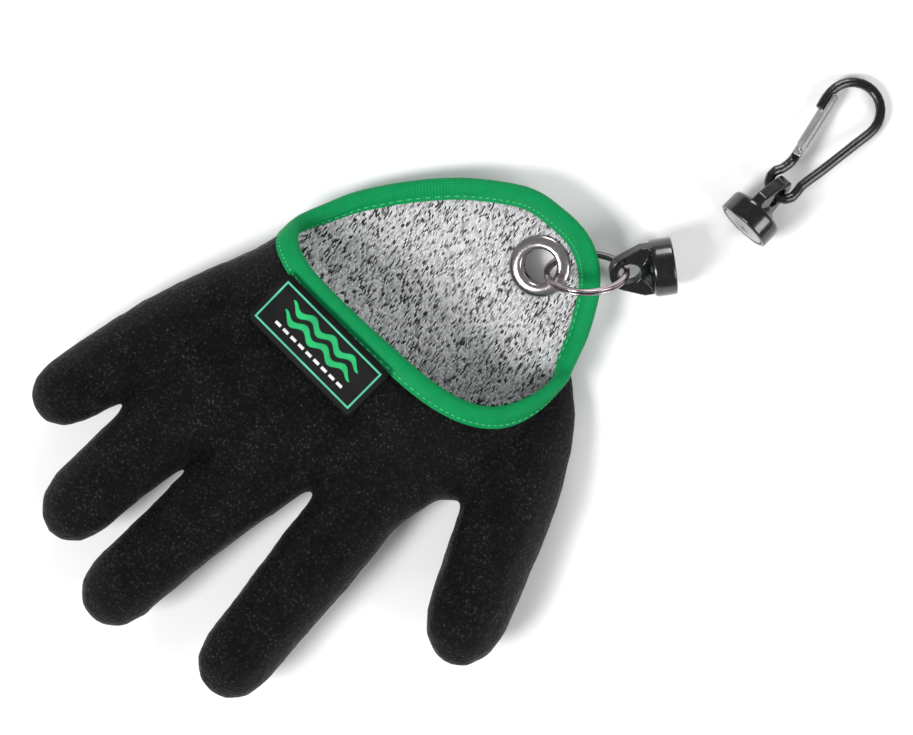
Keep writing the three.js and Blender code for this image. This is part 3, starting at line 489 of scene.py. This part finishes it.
def turned(profile, steps=64):
    """A closed outline in mm, (radius, height), spun round the Z axis."""
    shape = bmesh.new()
    corners = [shape.verts.new((radius * MM, 0, height * MM)) for radius, height in profile]
    edges = [shape.edges.new((a, b)) for a, b in zip(corners, corners[1:] + corners[:1])]
    bmesh.ops.spin(shape, geom=corners + edges, cent=(0, 0, 0), axis=(0, 0, 1),
                   angle=2 * math.pi, steps=steps, use_merge=True, use_normal_flip=False)
    return welded(shape, 1e-7)


def rim_path(steps):
    """Points and directions along the mouth's edge: place, away from the edge, out of the coat."""
    rows = [(Vector(row[:3]) * MM, Vector(row[3:]).normalized()) for row in RIM]
    count = len(rows)
    path = []
    for step in range(steps):
        place = step / steps * count
        i, t = int(place), place % 1
        around = [rows[(i + k) % count] for k in (-1, 0, 1, 2)]
        weights = (
            -0.5 * t + t * t - 0.5 * t ** 3,
            1 - 2.5 * t * t + 1.5 * t ** 3,
            0.5 * t + 2 * t * t - 1.5 * t ** 3,
            -0.5 * t * t + 0.5 * t ** 3,
        )
        point = sum((w * row[0] for w, row in zip(weights, around)), Vector())
        away = around[1][1].lerp(around[2][1], t).normalized()
        path.append((point, away))
    softened = []
    for i, (point, away) in enumerate(path):
        ahead = path[(i + 1) % steps][0] - path[i - 1][0]
        mean = sum((path[(i + k) % steps][1] for k in range(-4, 5)), Vector()).normalized()
        out = mean.cross(ahead).normalized()
        softened.append((point, ahead.cross(out).normalized(), out))
    return softened


def moved_into(whole, part):
    """Adds a part's mesh to a bmesh; the part itself goes."""
    mesh = bpy.data.meshes.new("part")
    part.to_mesh(mesh)
    part.free()
    whole.from_mesh(mesh)
    bpy.data.meshes.remove(mesh)


def joined(*shapes):
    """One bmesh of several, which go."""
    whole = bmesh.new()
    for shape in shapes:
        moved_into(whole, shape)
    return whole


def closed_ends(shape):
    """Fills each open end of a tube."""
    ends = [edge for edge in shape.edges if edge.is_boundary]
    bmesh.ops.holes_fill(shape, edges=ends, sides=0)


def largest_shell(shape):
    """Keeps the connected part with the largest area."""
    left = set(shape.faces)
    shells = []
    while left:
        stack = [left.pop()]
        shell = list(stack)
        while stack:
            for edge in stack.pop().edges:
                for face in edge.link_faces:
                    if face in left:
                        left.discard(face)
                        stack.append(face)
                        shell.append(face)
        shells.append(shell)
    shells.sort(key=lambda faces: sum(face.calc_area() for face in faces))
    spare = [face for shell in shells[:-1] for face in shell]
    bmesh.ops.delete(shape, geom=spare, context="FACES")
    return shape


def mouth_lid():
    """A lid over the mouth, which closes the coat while its skin is made."""
    steps = 96
    path = rim_path(steps)
    shape = bmesh.new()
    made = bmesh.ops.create_circle(shape, cap_ends=True, cap_tris=True, segments=steps, radius=1)
    middle = sum((point for point, _, _ in path), Vector()) / steps
    for vert in made["verts"]:
        if vert.co.length < 0.5:
            vert.co = middle
            continue
        turn = math.atan2(vert.co.y, vert.co.x) / (2 * math.pi)
        point, away, out = path[round(turn * steps) % steps]
        vert.co = point + (away * 0.3 - out * 0.6) * MM
    bmesh.ops.solidify(shape, geom=shape.faces, thickness=1.8 * MM)
    bmesh.ops.recalc_face_normals(shape, faces=shape.faces)
    return shape


def hole_plug():
    """A plug for the eyelet's hole, which closes the coat while its skin is made."""
    shape = bmesh.new()
    bmesh.ops.create_cone(shape, cap_ends=True, segments=40, radius1=8.4 * MM, radius2=8.4 * MM,
                          depth=2.2 * MM, matrix=EYELET_FRAME @ Matrix.Translation((0, 0, -1.9 * MM)))
    return shape


def heel_plug():
    """A bead over the thin place beside the thumb's heel."""
    shape = bmesh.new()
    bmesh.ops.create_icosphere(shape, subdivisions=3, radius=2.1 * MM,
                               matrix=Matrix.Translation(Vector((-24.6, -19.4, 6.0)) * MM))
    return shape


def prism(corners, low, high):
    """A straight-sided block over corners in the XY plane, in mm."""
    shape = bmesh.new()
    face = shape.faces.new([shape.verts.new((x * MM, y * MM, low * MM)) for x, y in corners])
    pulled = bmesh.ops.extrude_face_region(shape, geom=[face])["geom"]
    lifted = [item for item in pulled if isinstance(item, bmesh.types.BMVert)]
    bmesh.ops.translate(shape, vec=(0, 0, (high - low) * MM), verts=lifted)
    bmesh.ops.recalc_face_normals(shape, faces=shape.faces)
    return shape


def glove_skin():
    """The coat's outside as one soft open skin, cut along the mouth and the eyelet's hole."""
    shape = merged_node("latex_coat")
    solid = BVHTree.FromBMesh(shape)
    parts = joined(shape, mouth_lid(), hole_plug(), heel_plug())
    closed = largest_shell(remeshed(parts, FINE_VOXEL, 0))
    whole = new_piece("skin_helper", closed, None)
    cutters = [new_piece("cut_helper", prism(*cut), None) for cut in SKIN_CUTS]
    for cutter in cutters:
        modifier(whole, "BOOLEAN", operation="DIFFERENCE", object=cutter, solver="EXACT")
    modifier(whole, "REMESH", mode="VOXEL", voxel_size=SKIN_VOXEL)
    skin = baked(whole)
    for cutter in cutters:
        bpy.data.objects.remove(cutter)
    smoothed(skin, 8)
    cap = [vert for vert in skin.verts if solid.find_nearest(vert.co)[3] > CAP_DISTANCE
           and not near_cut(vert.co)]
    bmesh.ops.delete(skin, geom=cap, context="VERTS")
    largest_shell(skin)
    skin.normal_update()
    return skin


def near_cut(place, margin=2):
    """Whether a place is on the wall of one of the cuts, within a margin in mm."""
    x, y = place.x / MM, place.y / MM
    for corners, _, _ in SKIN_CUTS:
        xs, ys = zip(*corners)
        if min(xs) - margin < x < max(xs) + margin and min(ys) - margin < y < max(ys) + margin:
            return True
    return False


SKIN = {}


def skin_copy():
    if "shape" not in SKIN:
        SKIN["shape"] = glove_skin()
    return SKIN["shape"].copy()


def skin_tree():
    if "tree" not in SKIN:
        shape = skin_copy()
        SKIN["tree"] = BVHTree.FromBMesh(shape)
        shape.free()
    return SKIN["tree"]


class CoatOperator(bpy.types.Operator):
    """Lays the crinkled latex coat over the hand"""

    bl_idname = "glove.coat"
    bl_label = "Latex coat"

    def execute(self, context):
        shape = skin_copy()
        for vert in shape.verts:
            swell = noise.noise(vert.co / 0.011) * 0.28 * MM + noise.noise(vert.co / 0.0042) * 0.1 * MM
            lifted = vert.co + vert.normal * swell
            vert.co = Vector((lifted.x, lifted.y, max(lifted.z, FLOOR_CLEARANCE)))
        piece = new_piece("coat", shape, crinkled_latex(), ["latex_coat"])
        modifier(piece, "SOLIDIFY", thickness=sizes().coat_wall, offset=-1)
        return {"FINISHED"}


class LinerOperator(bpy.types.Operator):
    """Lines the palm and the flap with knit"""

    bl_idname = "glove.liner"
    bl_label = "Knit liner"

    def execute(self, context):
        shape = skin_copy()
        deep = [vert for vert in shape.verts if vert.co.y > 80 * MM or vert.co.x < -56 * MM]
        bmesh.ops.delete(shape, geom=deep, context="VERTS")
        inflated(shape, -sizes().liner_gap)
        smoothed(shape, 2)
        for vert in shape.verts:
            vert.co.z += noise.noise(vert.co / 0.016) * 0.3 * MM
        piece = new_piece("liner", shape, melange_knit(), ["knit_liner"])
        modifier(piece, "SOLIDIFY", thickness=sizes().liner_wall, offset=-1)
        return {"FINISHED"}


class TapeOperator(bpy.types.Operator):
    """Folds and sews the tape round the mouth"""

    bl_idname = "glove.tape"
    bl_label = "Edge tape"

    def execute(self, context):
        steps = 192
        path = rim_path(steps)
        tree = skin_tree()

        def on_tape(step, reach, height):
            """A place that hugs the rim near the edge and the coat's skin farther away."""
            point, away, out = path[step % steps]
            place = point + away * reach * MM
            found, normal = tree.find_nearest(place)[:2]
            near = min(1.0, max(0.0, reach / 2.5))
            lean = out.lerp(normal, near).normalized()
            seat = place.lerp(found, near)
            return seat + lean * height * MM

        sides = len(TAPE_SECTION)
        lengths = [0.0]
        for a, b in zip(TAPE_SECTION, TAPE_SECTION[1:] + TAPE_SECTION[:1]):
            lengths.append(lengths[-1] + math.dist(a, b) * MM)
        total = sum((path[i][0] - path[i - 1][0]).length for i in range(steps))

        def corner(u, v):
            reach, height = TAPE_SECTION[round(v * sides) % sides]
            return on_tape(round(u * steps), reach, height)

        shape = gridded(steps, sides, corner)
        layer = shape.loops.layers.uv.active
        for face in shape.faces:
            for loop in face.loops:
                share = loop[layer].uv
                loop[layer].uv = (share.x * total, lengths[round(share.y * sides)])
        smoothed(welded(shape), 1)
        piece = new_piece("edge_tape", shape, woven_tape(), ["edge_binding"])
        modifier(piece, "SUBSURF", levels=1, render_levels=1)
        self.sew(steps, on_tape)
        return {"FINISHED"}

    def sew(self, steps, on_tape):
        """Two rows of stitches, one on each leg."""
        seam = bmesh.new()
        for height in (1.0, -3.6):
            for i in range(0, steps * 3, 4):
                ends = [on_tape_between(on_tape, (i + k) / 3, SEAM_REACH, height) for k in (0.4, 3.2)]
                stitch(seam, ends, 0.27 * MM)
        new_piece("seam", seam, thread())


def on_tape_between(on_tape, place, reach, height):
    """A place on the tape between two of its steps."""
    step = math.floor(place)
    return on_tape(step, reach, height).lerp(on_tape(step + 1, reach, height), place - step)


def stitch(shape, ends, radius):
    """A short plump thread between two points."""
    start, end = ends
    length = (end - start).length
    made = bmesh.ops.create_icosphere(shape, subdivisions=1, radius=radius)["verts"]
    turn = (end - start).to_track_quat("Z", "Y").to_matrix().to_4x4()
    matrix = Matrix.Translation((start + end) / 2) @ turn @ Matrix.Diagonal(
        (1, 1, length / (2 * radius), 1))
    bmesh.ops.transform(shape, matrix=matrix, verts=made)


def thread():
    green = [min(1.0, channel * 1.5 + 0.02) for channel in colours().tape]
    finish = Finish("sewing_thread", green, 0.5, Sheen_Weight=0.4)
    twist = finish.add("TexNoise", Vector=finish.place(), Scale=2500.0, Detail=2.0)
    light = [min(1.0, channel * 1.6) for channel in green]
    finish.set("Base Color", finish.ramp(twist.outputs["Fac"], [(0.35, green), (0.65, light)]))
    finish.bump(twist.outputs["Fac"], 0.0001)
    return finish.material


class LabelOperator(bpy.types.Operator):
    """Lays the moulded label on the palm, over the tape"""

    bl_idname = "glove.label"
    bl_label = "Moulded label"

    def execute(self, context):
        shape = merged_node("label_patch")
        solid = BVHTree.FromBMesh(shape)
        low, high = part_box("label_patch")
        self.middle = Vector(((low.x + high.x) / 2, (low.y + high.y) / 2))
        shape.free()
        lean = math.radians(7)
        self.along = Vector((math.cos(lean), math.sin(lean)))
        self.outward = Vector((-math.sin(lean), math.cos(lean)))
        self.fit_sheet(solid)
        length, height = sizes().label_length / MM, sizes().label_height / MM
        corner = 2.6

        def plate(u, v):
            """A place on the label's top, with its corners pulled in to a radius."""
            x, y = (u - 0.5) * length, (v - 0.5) * height
            beyond = Vector((max(0, abs(x) - length / 2 + corner), max(0, abs(y) - height / 2 + corner)))
            if beyond.x > 0 and beyond.y > 0:
                rounded = beyond * max(beyond) / beyond.length
                x = math.copysign(length / 2 - corner + rounded.x, x)
                y = math.copysign(height / 2 - corner + rounded.y, y)
            return self.on_sheet(x, y, 0)

        black = moulded_rubber("label_rubber", (0.006, 0.0065, 0.006), 0.5)
        piece = new_piece("label", gridded(72, 32, plate), black, ["label_patch"])
        modifier(piece, "SOLIDIFY", thickness=1.7 * MM, offset=-1)
        modifier(piece, "BEVEL", width=0.7 * MM, segments=3, limit_method="ANGLE")
        pale = moulded_rubber("label_frame_line", colours().frame_line, 0.5)
        new_piece("label_frame", self.line_loop(length - 5.6, height - 5.6, 0.4, 0.32), pale)
        green = moulded_rubber("label_green", colours().waves, 0.5)
        waves = bmesh.new()
        for offset in (-4.3, 0.3):
            self.wave(waves, 18.0, offset, 1.2, 1.35, 0.28)
        new_piece("label_waves", welded(waves), green)
        white = moulded_rubber("label_white", (0.72, 0.72, 0.7), 0.5)
        dashes = bmesh.new()
        for i in range(9):
            self.bar(dashes, -16 + i * 4, 4.9, 1.35, 0.62, 0.25)
        new_piece("label_dashes", welded(dashes), white)
        return {"FINISHED"}

    def fit_sheet(self, solid):
        """A smooth sheet through the plate's top, away from its frame line."""
        rows, heights = [], []
        for i in range(-12, 13):
            for j in range(-5, 6):
                x, y = i * 2.1, j * 2.1
                if abs(x) > 22.5 or abs(y) > 7.5:
                    if abs(x) < 24.8 and abs(y) < 9.3:
                        continue
                place = self.middle + (self.along * x + self.outward * y) * MM
                hit = solid.ray_cast(Vector((*place, 0.2)), Vector((0, 0, -1)))[0]
                if hit:
                    rows.append(self.terms(x, y))
                    heights.append(hit.z)
        self.sheet = np.linalg.lstsq(np.array(rows), np.array(heights), rcond=None)[0]

    def terms(self, x, y):
        """The polynomial's terms at a place, in mm from the label's middle."""
        x, y = x / 27, y / 11.5
        return [x ** i * y ** j for i in range(5) for j in range(4 - i + 1)]

    def on_sheet(self, x, y, height):
        """A place over the sheet, all in mm."""
        place = self.middle + (self.along * x + self.outward * y) * MM
        level = float(np.dot(self.terms(x, y), self.sheet))
        return Vector((*place, level + height * MM))

    def line_loop(self, length, height, width, rise):
        """A raised line round a rectangle."""
        corners = [(-1, -1), (1, -1), (1, 1), (-1, 1)]
        steps, sides = 96, 8

        def place(u, v):
            side, share = divmod(u * 4 % 4, 1)
            a, b = corners[int(side)], corners[(int(side) + 1) % 4]
            turn = v * 2 * math.pi
            grow = width * math.cos(turn)
            x = (a[0] + (b[0] - a[0]) * share) * (length / 2 + grow)
            y = (a[1] + (b[1] - a[1]) * share) * (height / 2 + grow)
            return self.on_sheet(x, y, max(-0.2, rise * math.sin(turn)))

        return welded(gridded(steps, sides, place))

    def wave(self, shape, half, middle, swing, width, rise):
        """A raised ribbon that runs in waves."""
        def line(u):
            x = (2 * u - 1) * half
            taper = min(1.0, 6 * min(u, 1 - u)) ** 0.5
            return x, middle + swing * math.sin(x * 0.62), width * taper

        self.ribbon(shape, 80, 12, line, rise)

    def bar(self, shape, start, middle, half, width, rise):
        """A raised dash."""
        def line(u):
            return start + (2 * u - 1) * half, middle, width

        self.ribbon(shape, 4, 8, line, rise)

    def ribbon(self, shape, columns, sides, line, rise):
        """A flat-topped tube along line(u), which gives its place and its half width."""
        def place(u, v):
            x, y, width = line(u)
            turn = v * 2 * math.pi
            across = y + width * math.cos(turn)
            return self.on_sheet(x, across, max(-0.2, rise * min(1.0, 2.5 * math.sin(turn))))

        part = gridded(columns, sides, place)
        bmesh.ops.remove_doubles(part, verts=part.verts, dist=1e-6)
        closed_ends(part)
        moved_into(shape, part)


class EyeletOperator(bpy.types.Operator):
    """Presses the eyelet and its washer into the flap"""

    bl_idname = "glove.eyelet"
    bl_label = "Eyelet"

    def execute(self, context):
        nickel = worn_metal("nickel", (0.50, 0.46, 0.46), 0.2)
        flange = turned([
            (7.3, -4.9), (8.6, -4.9), (9.1, -4.5), (9.0, -4.15), (7.35, -4.1), (7.3, -3.2),
            (7.3, 0.5), (8.0, 0.52), (10.4, 0.52), (11.5, 0.5), (11.75, 0.62), (11.7, 0.85),
            (11.0, 1.35), (9.9, 1.85), (8.8, 2.1), (7.9, 2.1), (7.15, 1.85), (6.75, 1.4),
            (6.6, 0.8), (6.6, -4.4), (6.75, -4.75),
        ])
        bmesh.ops.transform(flange, matrix=EYELET_FRAME, verts=flange.verts)
        new_piece("eyelet_flange", flange, nickel, ["eyelet"])
        washer = turned([
            (7.7, -3.75), (8.0, -3.9), (10.6, -3.8), (11.1, -3.6), (11.1, -3.05), (10.8, -2.96),
            (7.8, -2.98),
        ])
        bmesh.ops.transform(washer, matrix=EYELET_FRAME, verts=washer.verts)
        new_piece("washer", washer, nickel, ["eyelet_washer"])
        return {"FINISHED"}


class RingOperator(bpy.types.Operator):
    """Winds the split ring's two coils"""

    bl_idname = "glove.ring"
    bl_label = "Split ring"

    def execute(self, context):
        turns, radius, pitch = 1.94, 15 * MM, 1.25 * MM
        shape = bmesh.new()
        made = bmesh.ops.create_circle(shape, segments=16, radius=1)["verts"]
        for vert in made:
            x, y = vert.co.x, vert.co.y
            across = math.copysign(abs(x) ** 0.7, x) * 1.15 * MM
            thick = math.copysign(abs(y) ** 0.7, y) * 0.55 * MM
            vert.co = (radius + across, 0, thick - pitch * turns / 2)
        steps = 160
        bmesh.ops.spin(shape, geom=list(shape.verts) + list(shape.edges), cent=(0, 0, 0),
                       axis=(0, 0, 1), dvec=(0, 0, pitch * turns / steps),
                       angle=turns * 2 * math.pi, steps=steps)
        closed_ends(shape)
        welded(shape, 1e-7)
        bmesh.ops.transform(shape, matrix=RING_FRAME, verts=shape.verts)
        steel = worn_metal("plated_steel", (0.46, 0.38, 0.41), 0.18)
        new_piece("split_ring_coils", shape, steel, ["split_ring"])
        return {"FINISHED"}


class MagnetsOperator(bpy.types.Operator):
    """Moulds the two halves of the magnetic coupling"""

    bl_idname = "glove.magnets"
    bl_label = "Magnetic coupling"

    def execute(self, context):
        plastic = gloss_plastic()
        plated = worn_metal("plated_magnet", (0.45, 0.45, 0.46), 0.22)
        for side, matrix in (("glove", GLOVE_HALF), ("clip", CLIP_HALF)):
            shape = self.housing()
            bmesh.ops.transform(shape, matrix=matrix, verts=shape.verts)
            new_piece("coupling_" + side, shape, plastic, ["magnet_housing_" + side])
            disc = turned([
                (0.01, 0.0), (8.6, 0.0), (8.95, 0.15), (9.0, 0.5), (9.0, 2.4), (8.8, 2.6), (0.01, 2.6),
            ])
            bmesh.ops.rotate(disc, cent=(0, 0, 0), verts=disc.verts,
                             matrix=Matrix.Rotation(-math.pi / 2, 3, "X"))
            bmesh.ops.transform(disc, matrix=matrix, verts=disc.verts)
            new_piece("magnet_disc_" + side, disc, plated, ["magnet_" + side])
        return {"FINISHED"}

    def housing(self):
        """Cap, shoulder and holed tab, moulded in one."""
        cap = turned([
            (9.35, 0.0), (10.4, 0.0), (10.85, 0.2), (11.0, 0.6), (10.9, 7.4), (10.4, 8.4), (9.2, 8.75),
            (7.2, 9.4), (5.4, 10.6), (4.2, 11.8), (0.01, 11.9), (0.01, 2.95), (9.35, 2.95),
        ])
        bmesh.ops.rotate(cap, cent=(0, 0, 0), verts=cap.verts,
                         matrix=Matrix.Rotation(-math.pi / 2, 3, "X"))
        whole = new_piece("cap_helper", cap, None)
        tab = new_piece("tab_helper", self.tab(), None)
        hole = bmesh.new()
        bmesh.ops.create_cone(hole, cap_ends=True, segments=48, radius1=4.4 * MM, radius2=4.4 * MM,
                              depth=12 * MM, matrix=Matrix.Translation((0, 17 * MM, 0)))
        cutter = new_piece("hole_helper", hole, None)
        modifier(tab, "BOOLEAN", operation="DIFFERENCE", object=cutter, solver="EXACT")
        modifier(whole, "BOOLEAN", operation="UNION", object=tab, solver="EXACT")
        modifier(whole, "REMESH", mode="VOXEL", voxel_size=0.36 * MM)
        shape = baked(whole)
        bpy.data.objects.remove(tab)
        bpy.data.objects.remove(cutter)
        smoothed(shape, 4)
        return shape

    def tab(self):
        """The tab's outline, drawn and pulled to its thickness."""
        outline = [(-10.7, 12.0), (-10.5, 7.0), (10.5, 7.0), (10.7, 12.0)]
        for i in range(17):
            turn = math.radians(20 + 140 * i / 16)
            outline.append((7.7 * math.cos(turn), 17 + 7.7 * math.sin(turn)))
        return prism(outline, -TAB_HALF_THICKNESS, TAB_HALF_THICKNESS)


class CarabinerOperator(bpy.types.Operator):
    """Bends the carabiner and hangs its gate"""

    bl_idname = "glove.carabiner"
    bl_label = "Carabiner"

    def execute(self, context):
        body = remeshed(merged_node("carabiner_body"), 0.27 * MM, 9)
        inflated(body, 0.1 * MM)
        new_piece("carabiner_frame", body, anodised_black(), ["carabiner_body"])
        gate = remeshed(merged_node("carabiner_gate"), 0.17 * MM, 3)
        inflated(gate, 0.16 * MM)
        heading = math.atan2(GATE_FRAME[1][0], GATE_FRAME[0][0])
        satin = worn_metal("satin_aluminium", (0.42, 0.40, 0.41), 0.4, 12.0, -heading)
        new_piece("gate", gate, satin, ["carabiner_gate"], "gate")
        pin = turned([
            (0.01, -2.25), (0.75, -2.25), (0.95, -2.05), (0.7, -1.9), (0.7, 1.9), (0.95, 2.05),
            (0.75, 2.25), (0.01, 2.25),
        ], 24)
        bmesh.ops.transform(pin, matrix=GATE_FRAME, verts=pin.verts)
        rivet = worn_metal("rivet", (0.5, 0.46, 0.47), 0.3)
        new_piece("gate_rivet", pin, rivet, ["gate_pin"])
        return {"FINISHED"}


class StageOperator(bpy.types.Operator):
    """Sets the floor, the lights and the camera"""

    bl_idname = "glove.stage"
    bl_label = "Stage"

    def execute(self, context):
        scene = context.scene
        floor = bmesh.new()
        bmesh.ops.create_grid(floor, x_segments=1, y_segments=1, size=3)
        piece = new_piece("floor", floor, None)
        paper = Finish("paper", (0.93, 0.93, 0.93), 0.9)
        grain = paper.add("TexNoise", Vector=paper.place(), Scale=400.0)
        paper.bump(grain.outputs["Fac"], 0.00002)
        piece.data.materials.append(paper.material)
        for name, place, size, power in (
            ("key", (0.15, 1.15, 1.15), 0.55, 26.0),
            ("fill", (-1.1, -0.5, 0.9), 0.7, 11.0),
            ("rim", (0.9, -0.9, 0.7), 0.5, 8.0),
        ):
            light = bpy.data.lights.new(name, "AREA")
            light.size = size
            light.energy = power
            lamp = bpy.data.objects.new(name, light)
            lamp.location = place
            lamp.rotation_euler = (-Vector(place)).to_track_quat("-Z", "Y").to_euler()
            scene.collection.objects.link(lamp)
        world = bpy.data.worlds.new("studio")
        world.use_nodes = True
        world.node_tree.nodes["Background"].inputs["Color"].default_value = (0.95, 0.96, 1, 1)
        world.node_tree.nodes["Background"].inputs["Strength"].default_value = 0.3
        scene.world = world
        height = 1.3
        lens = bpy.data.cameras.new("camera")
        lens.sensor_width = 36
        lens.lens = lens.sensor_width * height / (PHOTO_WIDTH * MM_PER_PIXEL * MM)
        camera = bpy.data.objects.new("camera", lens)
        camera.location = (-1.6 * MM, 12.5 * MM, height + 15 * MM)
        camera.rotation_euler = (0, 0, math.radians(-128))
        scene.collection.objects.link(camera)
        scene.camera = camera
        scene.view_settings.view_transform = "Standard"
        return {"FINISHED"}


class GlovePanel(bpy.types.Panel):
    """Lists the glove's pieces"""

    bl_idname = "VIEW3D_PT_glove"
    bl_label = "Fishing glove"
    bl_space_type = "VIEW_3D"
    bl_region_type = "UI"
    bl_category = "Glove"

    def draw(self, context):
        layout = self.layout
        for group in (context.scene.glove_sizes, context.scene.glove_colours):
            for key in group.__annotations__:
                layout.prop(group, key)
        for operator in OPERATORS:
            layout.operator(operator.bl_idname)


OPERATORS = (CoatOperator, LinerOperator, TapeOperator, LabelOperator, EyeletOperator, RingOperator,
             MagnetsOperator, CarabinerOperator, StageOperator)
CLASSES = (GloveSizes, GloveColours, *OPERATORS, GlovePanel)


def register():
    for item in CLASSES:
        bpy.utils.register_class(item)
    bpy.types.Scene.glove_sizes = PointerProperty(type=GloveSizes)
    bpy.types.Scene.glove_colours = PointerProperty(type=GloveColours)


def unregister():
    del bpy.types.Scene.glove_colours
    del bpy.types.Scene.glove_sizes
    for item in reversed(CLASSES):
        bpy.utils.unregister_class(item)


def main():
    register()
    for operator in OPERATORS:
        group, name = operator.bl_idname.split(".")
        getattr(getattr(bpy.ops, group), name)()


if __name__ == "__main__":
    main()
